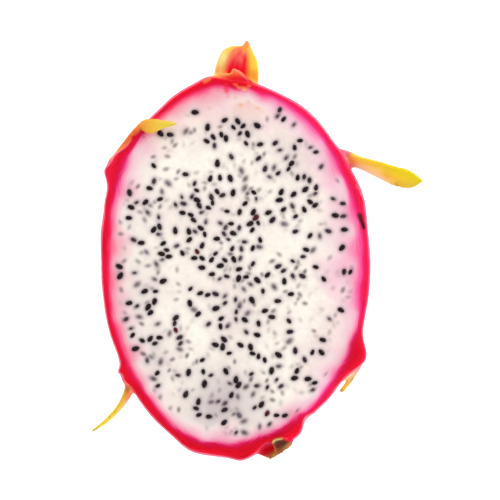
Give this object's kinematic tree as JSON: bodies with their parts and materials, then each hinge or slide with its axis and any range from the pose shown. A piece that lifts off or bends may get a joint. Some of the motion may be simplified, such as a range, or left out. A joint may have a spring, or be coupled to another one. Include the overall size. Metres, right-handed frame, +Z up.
{
  "type": "dragon fruit half",
  "caption": "Dragon fruit cut lengthwise, lying on its rounded back with the white, seeded cut face up and leafy scales round its red rind.",
  "frame": {"origin": "middle of the small flat spot under the rounded back, on which the half lies", "axes": "+Z up out of the cut face, +Y along the fruit to its stem end, +X to the right as seen from above the cut face"},
  "size_m": [0.0997, 0.1263, 0.0476],
  "materials": {
    "rind": "waxy red fruit skin, with scales that turn orange and yellow to their tips",
    "flesh": "moist white fruit flesh, pink beside the rind, with glossy black seeds"
  },
  "bodies": {
    "root": {"rind": "rind", "flesh": "flesh"}
  },
  "joints": []
}
